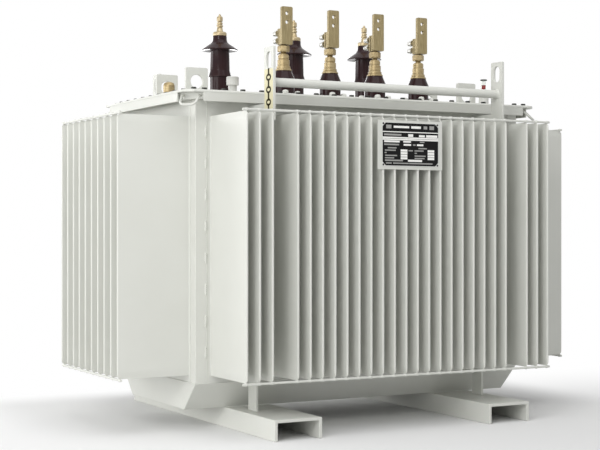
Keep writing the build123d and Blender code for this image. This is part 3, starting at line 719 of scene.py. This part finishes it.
# Low-voltage bushings
# Four short insulators stand along the front, glazed like the tall ones. Each carries a stepped brass stem
# with a lock nut, and on its stud a cast brass clamp with a drilled flag, pinched by two plated cap nuts at
# the back.
CAST_BRASS = "#a79874"
CAST_BRASS_SHADE = "#827450"
TURNED_BRASS = "#b0a07c"
TURNED_BRASS_SHADE = "#8f7b55"
CAST_STREAKS = (3.0, 3.0, 0.15)
PLATED_STEEL = "#c9c8c4"
LV_BASE = 37.0
LV_LIP = 39.5
LV_TOP = 28.5
LV_INSULATOR = [(LV_BASE, 0, 0.5), (LV_BASE, 56, 0.5), (LV_LIP, 56, 1), (LV_LIP, 61, 2), (LV_TOP, 87, 2),
                (LV_TOP, 90, 1), (8, 90, 0.5)]
LV_RING_OUTER = 57.8
LV_RING_HEIGHT = 10.0
LV_CLAWS = 48.0
LV_DOME = [(10.5, 10, 0.5), (10.5, 16, 3), (8.5, 21, 3), (2, 22.5, 0.5)]
STEM_FOOT = 6.0
STEM_RINGS = ((28.5, 8.0), (24.0, 11.0), (21.0, 22.0), (19.0, 16.0))
STEM_GROOVE = 3.2
STEM_CHAMFER = 1.0
STEM_SHARP_ANGLE = 30.0
STUD = 10.0
STUD_TIP = 4.0
STUD_LENGTH = 80.0
THREAD_MM = 2.5
THREAD_DEPTH = 0.9
LOCK_NUT_FLATS = 36.0
LOCK_NUT_HEIGHT = 21.0
LOCK_NUT_RISE = 8.0
CAP_NUT_WASHER = 2.6
CAP_NUT_FLATS = 18.0
CAP_NUT_HEIGHT = 13.0
CAP_NUT = [(3, 0, 0.5), (10.5, 0, 0.5), (10.5, CAP_NUT_WASHER, 0.5), (8, CAP_NUT_WASHER, 0.5), (8, 25, 3),
           (5.5, 31, 3), (1, 32, 0.5)]
CLAMP_BOLT_LEVELS = (15.0, 41.0)
CLAMP_BOLT_ASIDE = -13.0


def threaded(radius, foot, height):
    """The profile of a threaded length: the radius falls and rises by the thread's depth at every pitch."""
    turns = int(height / THREAD_MM)
    level = np.linspace(foot, foot + height, 2 * turns + 1)
    return np.stack([radius - THREAD_DEPTH * (np.arange(2 * turns + 1) % 2), level], 1)


def laid(shape, way):
    """A shape on the Z axis laid along Y, its top towards the back for a way of one and towards the front for
    minus one."""
    points, corners, sizes = shape
    return points[:, [0, 2, 1]] * (1, way, 1), corners, sizes


cast_brass = brass("brushed_cast_brass", CAST_BRASS, CAST_BRASS_SHADE, brushed_mm=5.0, stretch=CAST_STREAKS)
turned_brass = brass("turned_brass", TURNED_BRASS, TURNED_BRASS_SHADE, brushed_mm=8.0, stretch=TURNED_STREAKS)
lv_insulator = lathe(LV_INSULATOR, sides=56)

stem_profile = [(STEM_FOOT, 0.0)]
level = 0.0
for radius, height in STEM_RINGS:
    groove = level + height - STEM_GROOVE
    stem_profile += [(radius - STEM_CHAMFER, level), (radius, level + STEM_CHAMFER),
                     (radius, groove - STEM_CHAMFER), (radius - STEM_CHAMFER, groove),
                     (radius - STEM_GROOVE, groove), (radius - STEM_GROOVE, level + height)]
    level += height
stud_tip = [(STUD_TIP, level + STUD_LENGTH)]
stem_profile = np.vstack([stem_profile, threaded(STUD, level, STUD_LENGTH), stud_tip])
lock_nut = hexagon(LOCK_NUT_FLATS, level + LOCK_NUT_RISE, LOCK_NUT_HEIGHT, bevel=2.2)
stem = joined([turned(stem_profile, sides=44), lock_nut])

lv_places = []
for number in (1, 2, 3, 4):
    place = foot_centre(f"lv_porcelain_{number}")
    lv_places.append(place)
    body = piece(f"lv_insulator_{number}", copies(lv_insulator, [place]), porcelain)
    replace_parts(body, f"lv_porcelain_{number}")
    placed_stem = copies(stem, [foot_centre(f"lv_stem_{number}")])
    made = piece(f"lv_stepped_stem_{number}", placed_stem, turned_brass, sharp=STEM_SHARP_ANGLE)
    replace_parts(made, f"lv_stem_{number}")
    softened(f"lv_clamp_flag_{number}", f"lv_flag_{number}", cast_brass, edge=1.2)

collar = clamp_ring(LV_BASE + RING_CLEARANCE, LV_RING_OUTER, LV_RING_HEIGHT)
lv_clamp = joined([collar, round_about(lathe(LV_DOME, sides=24), LV_CLAWS)])
collars = piece("lv_foot_clamps", copies(lv_clamp, lv_places), white_enamel)
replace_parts(collars, "lv_clamp_rings")

plated_steel = metal("zinc_plated_steel", PLATED_STEEL, roughness=0.3, grain_mm=7.0)
cap_nut = joined([lathe(CAP_NUT, sides=24), hexagon(CAP_NUT_FLATS, CAP_NUT_WASHER, CAP_NUT_HEIGHT)])
clamp_bolts = []
for number, place in enumerate(lv_places, 1):
    low, high = span(f"lv_flag_{number}")
    clamp_bolts += [(place[0] + CLAMP_BOLT_ASIDE, high[1], low[2] + up) for up in CLAMP_BOLT_LEVELS]
piece("clamp_bolts", copies(laid(cap_nut, 1), clamp_bolts), plated_steel)

# Lid lugs
# Four drilled plates are welded on edge to the lid, for lifting it with the windings. They are steel in the
# tank's enamel, with a weld bead along both sides of the foot.
LUG_PLATE = 12.0
LUG_WIDTH = 82.0
LUG_BEAD = 4.0

softened("lid_lifting_lugs", "lid_lugs", enamel, edge=1.6)
lug_low, lug_high = span("lid_lugs")
lug_places = quartet(lug_high[0] - LUG_WIDTH / 2, lug_high[1] - LUG_PLATE / 2, lug_low[2])
lug_bead = bead((-LUG_WIDTH / 2, 0, 0), (LUG_WIDTH / 2, 0, 0), LUG_BEAD)
lug_beads = [(x, y + face * LUG_PLATE / 2, z) for x, y, z in lug_places for face in (-1, 1)]
piece("lug_welds", copies(lug_bead, lug_beads), enamel)

# Filler, oil gauge and relief valve
# The filler is a white moulded neck with a screw cap. The gauge is a clear tube with a red float, on a white
# foot and under a black cap. The relief valve is a brass dome on a hexagon. All are screwed into the lid.
WHITE_PLASTIC = "#cdcdc8"
BLACK_PLASTIC = "#3a3b39"
FLOAT_RED = "#8e2c2c"
CLEAR_ACRYLIC = "#f3f5f2"
MOULD_GRAIN_MM = 4.0
FILLER_NECK = [(23, 0, 0.5), (23, 8, 2), (15, 8, 2), (15, 58, 0.5), (6, 58, 0.5)]
GAUGE_FOOT = [(21, 0, 0.5), (21, 9, 1.5), (18.5, 9, 1), (18.5, 40, 4), (14, 48, 2), (6, 48, 0.5)]
GAUGE_TUBE = [(9.2, 48), (11, 48), (11, 101), (9.2, 101)]
GAUGE_TUBE_EDGE = 0.4
GAUGE_FLOAT = [(4, 71, 0.5), (7.6, 71, 2), (7.6, 86, 2), (4, 86, 0.5)]
FLOAT_ROD = [(2, 47), (2, 72)]
VALVE_DOME = [(8, 22, 0.5), (18.5, 22, 1), (20, 25, 1), (20, 48, 5), (17, 56, 5), (9, 60, 4), (1.5, 60, 0.5)]
VALVE_FLATS = 34.0
VALVE_HEXAGON = 24.0


def moulded_plastic(name, colour, roughness):
    """Moulded plastic: one even colour, with a fine grain from the mould that softens its shine."""
    made, tree, place = open_material(name)
    grain = noise(tree, place, MOULD_GRAIN_MM, detail=2.0)
    surface(tree, {"Base Color": linear(colour), "IOR": 1.49,
                   "Roughness": spread(tree, grain, roughness, swing=0.08),
                   "Normal": relief(tree, grain, strength=0.1, depth=0.0003)})
    return made


def clear_acrylic():
    """Clear acrylic tube: nearly colourless, smooth inside and out, and bright along its edges."""
    made, tree, _ = open_material("clear_acrylic")
    surface(tree, {"Base Color": linear(CLEAR_ACRYLIC), "Roughness": 0.03, "IOR": 1.15,
                   "Transmission Weight": 1.0})
    return made


def gripped(radius, foot, height, grips, depth, rim):
    """An upright cap with hollow grips round it: the radius follows a cosine of the angle, and fades to the
    plain rounded rim at the top."""
    turn = np.linspace(0, 2 * np.pi, 4 * grips, endpoint=False)
    wave = depth * (0.5 - 0.5 * np.cos(grips * turn))
    rows = np.array([(0, 0.0, 0), (0, rim / 3, 1), (0, height - 1.6 * rim, 1), (0, height - 1.1 * rim, 0),
                     (0.3 * rim, height - 0.4 * rim, 0), (rim, height, 0), (radius - rim, height, 0)])
    inset, rise, share = rows[:, :1], rows[:, 1:2], rows[:, 2:]
    reach = radius - inset - share * wave
    level = np.broadcast_to(foot + rise, reach.shape)
    return shell(np.stack([reach * np.cos(turn), reach * np.sin(turn), level], -1))


white_plastic = moulded_plastic("white_moulded_plastic", WHITE_PLASTIC, roughness=0.4)
black_plastic = moulded_plastic("black_moulded_plastic", BLACK_PLASTIC, roughness=0.45)
red_plastic = moulded_plastic("red_moulded_plastic", FLOAT_RED, roughness=0.4)

filler_cap = gripped(radius=22.0, foot=57.0, height=30.0, grips=20, depth=1.6, rim=3.5)
filler = copies(joined([lathe(FILLER_NECK, sides=32), filler_cap]), [foot_centre("filler")])
made = piece("filler_pipe_and_cap", filler, white_plastic)
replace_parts(made, "filler")

place = foot_centre("gauge_body")
piece("gauge_foot", copies(lathe(GAUGE_FOOT, sides=36), [place]), white_plastic)
gauge_tube = hoop(rounded(GAUGE_TUBE, GAUGE_TUBE_EDGE), sides=32)
glass = piece("gauge_tube", copies(gauge_tube, [place]), clear_acrylic())
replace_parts(glass, "gauge_body")
gauge_float = joined([lathe(GAUGE_FLOAT, sides=24), turned(FLOAT_ROD, sides=12)])
piece("gauge_float", copies(gauge_float, [place]), red_plastic)
gauge_top = gripped(radius=12.5, foot=0.0, height=6.0, grips=16, depth=0.6, rim=1.2)
made = piece("gauge_top_cap", copies(gauge_top, [foot_centre("gauge_cap")]), black_plastic)
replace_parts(made, "gauge_cap")

valve = joined([hexagon(VALVE_FLATS, 0.0, VALVE_HEXAGON, bevel=2.0), lathe(VALVE_DOME, sides=40)])
made = piece("domed_relief_valve", copies(valve, [foot_centre("relief_valve")]), turned_brass)
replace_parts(made, "relief_valve")

# Rating plate
# A thin aluminium plate is screwed at its corners to a painted sheet bracket, which is tacked to the front
# fins. It is printed black, with blank pale fields and plain grey bars in place of words. Each field or bar
# is its middle across and up from the plate's middle, its width and its height.
ALUMINIUM = "#d3d4d0"
PLATE_INK = "#161616"
PLATE_PALE = "#f0f0ec"
PLATE_GREY = "#9c9c99"
PLATE_MARGIN = 2.0
PLATE_CORNER = 12.0
PRINT = 0.2
SCREW_INSET = 5.0
SCREW_HEAD = [(3.4, 0), (3.4, 0.5), (2.4, 1.4), (0.8, 1.7)]
PLATE_FIELDS = [
    (-36, 57, 60, 7), (21, 57, 38, 8), (0, 40.5, 217, 3), (0, 30, 19, 9), (44, 29, 23, 7), (83, 29, 44, 8),
    (0, 21.6, 217, 4.8), (0, 15.8, 217, 4.8), (-73, 9, 60, 6), (-14, 9, 30, 5), (-13, -1, 29, 6),
    (37, -1, 25, 6), (17, -53, 55, 7)]
PLATE_BARS = [
    (-85, 57, 20, 12), (58, 57, 14, 10), (83, 57, 18, 12), (-70, 31, 67, 6), (45, 9, 18, 4),
    (-74, -1, 57, 5), (14, -1, 10, 5), (-72, -12, 34, 4), (47, -12, 33, 4), (-79, -20, 42, 4),
    (0, -20, 17, 4), (33, -20, 36, 4), (-97, -28, 7, 4), (20, -28, 9, 4), (-76, -37, 46, 4), (37, -37, 43, 4),
    (-82, -45, 35, 4), (35, -45, 39, 4), (-65, -53, 69, 5), (-85, -62, 22, 4), (-38, -62, 61, 4),
    (40, -62, 92, 4)]
TABLE_COLUMNS = (-26, 80)
TABLE_ROWS = (-20, -28.5, -37, -45.5)
TABLE_FIELD = (26, 7.2)
PLATE_FIELDS += [(x, z, *TABLE_FIELD) for x in TABLE_COLUMNS for z in TABLE_ROWS]


def printed(fields):
    """Oblongs of print on the plate, each from its middle, width and height."""
    outlines = [oblong(*(plate_middle + field[:2]), *field[2:]) for field in fields]
    low, high = plate_face - 2 * PRINT, plate_face - PRINT / 2
    return joined([prism(outline, low, high, axis=1) for outline in outlines])


softened("plate_backing", "plate_bracket", enamel, edge=0.5)
aluminium = metal("rolled_aluminium", ALUMINIUM, roughness=0.4, grain_mm=12.0)
softened("printed_plate", "rating_plate", aluminium, edge=0.3)
plate_low, plate_high = span("rating_plate")
plate_middle = (plate_low + plate_high)[[0, 2]] / 2
half_plate = (plate_high - plate_low)[[0, 2]] / 2
plate_face = plate_low[1]
long, cut = half_plate - PLATE_MARGIN, half_plate - PLATE_MARGIN - PLATE_CORNER
black = np.array([(long[0], cut[1]), (cut[0], long[1]), (-cut[0], long[1]), (-long[0], cut[1]),
                  (-long[0], -cut[1]), (-cut[0], -long[1]), (cut[0], -long[1]), (long[0], -cut[1])])
piece("plate_black_print", prism(black + plate_middle, plate_face - PRINT, plate_face + PRINT, axis=1),
      film("black_plate_print", PLATE_INK, roughness=0.4))
pale_print = film("pale_plate_print", PLATE_PALE, roughness=0.5)
piece("plate_blank_fields", printed(PLATE_FIELDS), pale_print)
grey_print = film("grey_plate_print", PLATE_GREY, roughness=0.5)
piece("plate_grey_bars", printed(PLATE_BARS), grey_print)
screw_x, screw_z = half_plate - SCREW_INSET
screw_places = [(plate_middle[0] + sx * screw_x, plate_face, plate_middle[1] + sz * screw_z)
                for sx in (-1, 1) for sz in (-1, 1)]
piece("plate_screws", copies(laid(turned(SCREW_HEAD, sides=16), -1), screw_places), black_steel)

# Floor, light and camera
# A pale matt floor takes the shadow and turns white behind the transformer and far away. A wide low softbox
# at the left and a key above it light the photo's side, one hangs overhead, and two light the floor from
# behind. Each softbox is its place, its target, its width and height in metres, and its watts.
FLOOR = "#ededed"
FLOOR_HALF = 30.0
TANK_SHADOW = (0.9, 0.6, 0.0)
SHADOW_FADE = 0.35
WHITE_BEHIND = (-0.9, 0.8)
WHITE_AFAR = (1.6, 4.2)
AMBIENT = 0.44
SOFTBOXES = {
    "left_softbox": ((-5.6, -1.8, 0.9), (0, 0, 0.4), (5.4, 1.8), 96.0),
    "key_softbox": ((-4.7, -4.2, 3.5), (0, 0, 0.6), (2.2, 2.2), 113.0),
    "overhead_softbox": ((-0.3, -1.5, 4.0), (0, 0, 0.6), (4.0, 3.0), 66.0),
    "back_softbox": ((0.6, 5.0, 1.6), (0.2, 0, 0.1), (4.0, 2.0), 92.0),
    "back_left_softbox": ((-4.4, 3.4, 1.2), (0, 0.2, 0.1), (3.0, 1.6), 82.0),
}
CAMERA_PLACE = (-2.4862, -4.4260, 0.6794)
CAMERA_PITCH = -0.03
CAMERA_YAW = 28.47
CAMERA_LENS = 83.24
CAMERA_SENSOR = 36.0


def seen_share(tree):
    """One for rays from the camera and for those that a mirror or glass sends on, and nought for light."""
    path = add(tree, "LightPath")
    seen = path.outputs["Is Camera Ray"]
    for kind in ("Is Glossy Ray", "Is Transmission Ray"):
        seen = add(tree, "Math", {0: seen, 1: path.outputs[kind]}, operation="MAXIMUM").outputs[0]
    return seen


def smooth_step(tree, value, low, high):
    """A share that rises smoothly from nought at the low value to one at the high value."""
    return add(tree, "MapRange", {"Value": value, "From Min": low, "From Max": high},
               interpolation_type="SMOOTHSTEP").outputs["Result"]


def studio_floor():
    """Matt white paper: even and dull near the transformer, where it shows the shadow, and plain white to the
    eye behind it and far away. The white grows with Y and with the distance to the shadow's oblong."""
    made, tree, place = open_material("matt_studio_paper")
    side = add(tree, "VectorMath", {0: place}, operation="ABSOLUTE")
    side = add(tree, "VectorMath", {0: side.outputs[0], 1: TANK_SHADOW}, operation="SUBTRACT")
    side = add(tree, "VectorMath", {0: side.outputs[0], 1: (0, 0, 0)}, operation="MAXIMUM")
    beside = add(tree, "VectorMath", {0: side.outputs[0]}, operation="LENGTH").outputs["Value"]
    clear = smooth_step(tree, beside, 0.0, SHADOW_FADE)
    along = add(tree, "SeparateXYZ", {0: place}).outputs["Y"]
    behind = add(tree, "Math", {0: smooth_step(tree, along, *WHITE_BEHIND), 1: clear}, operation="MULTIPLY")
    afar = smooth_step(tree, beside, *WHITE_AFAR)
    whiten = add(tree, "Math", {0: behind.outputs[0], 1: afar}, operation="MAXIMUM")
    share = add(tree, "Math", {0: whiten.outputs[0], 1: seen_share(tree)}, operation="MULTIPLY")
    matt = add(tree, "BsdfDiffuse", {"Color": linear(FLOOR)})
    white = add(tree, "Emission", {"Color": (1, 1, 1, 1), "Strength": 1.0})
    mixed = add(tree, "MixShader", {0: share.outputs[0], 1: matt.outputs[0], 2: white.outputs[0]})
    add(tree, "OutputMaterial", {"Surface": mixed.outputs[0]})
    return made


floor_mesh = bpy.data.meshes.new("studio_floor")
floor_corners = [(*corner, 0) for corner in oblong(0, 0, 2 * FLOOR_HALF, 2 * FLOOR_HALF)]
floor_mesh.from_pydata(floor_corners, [], [(0, 1, 2, 3)])
floor_mesh.materials.append(studio_floor())
floor = bpy.data.objects.new("studio_floor", floor_mesh)
bpy.context.scene.collection.objects.link(floor)

world = bpy.data.worlds.new("white_studio")
world.use_nodes = True
tree = world.node_tree
tree.nodes.clear()
level = add(tree, "MapRange", {"Value": seen_share(tree), "To Min": AMBIENT, "To Max": 1.0})
sky = add(tree, "Background", {"Color": (1, 1, 1, 1), "Strength": level.outputs["Result"]})
add(tree, "OutputWorld", {"Surface": sky.outputs["Background"]})
bpy.context.scene.world = world

for name, (place, target, size, watts) in SOFTBOXES.items():
    lamp = bpy.data.lights.new(name, "AREA")
    lamp.shape = "RECTANGLE"
    lamp.size, lamp.size_y = size
    lamp.energy = watts
    softbox = bpy.data.objects.new(name, lamp)
    softbox.location = place
    aim = np.subtract(target, place)
    softbox.rotation_euler = (math.atan2(math.hypot(aim[0], aim[1]), -aim[2]), 0, math.atan2(-aim[0], aim[1]))
    bpy.context.scene.collection.objects.link(softbox)

camera_data = bpy.data.cameras.new("photo_camera")
camera_data.lens = CAMERA_LENS
camera_data.sensor_width = CAMERA_SENSOR
camera = bpy.data.objects.new("photo_camera", camera_data)
camera.location = CAMERA_PLACE
camera.rotation_euler = (math.radians(90 + CAMERA_PITCH), 0, math.radians(-CAMERA_YAW))
bpy.context.scene.collection.objects.link(camera)
bpy.context.scene.camera = camera
bpy.context.scene.view_settings.view_transform = "Standard"
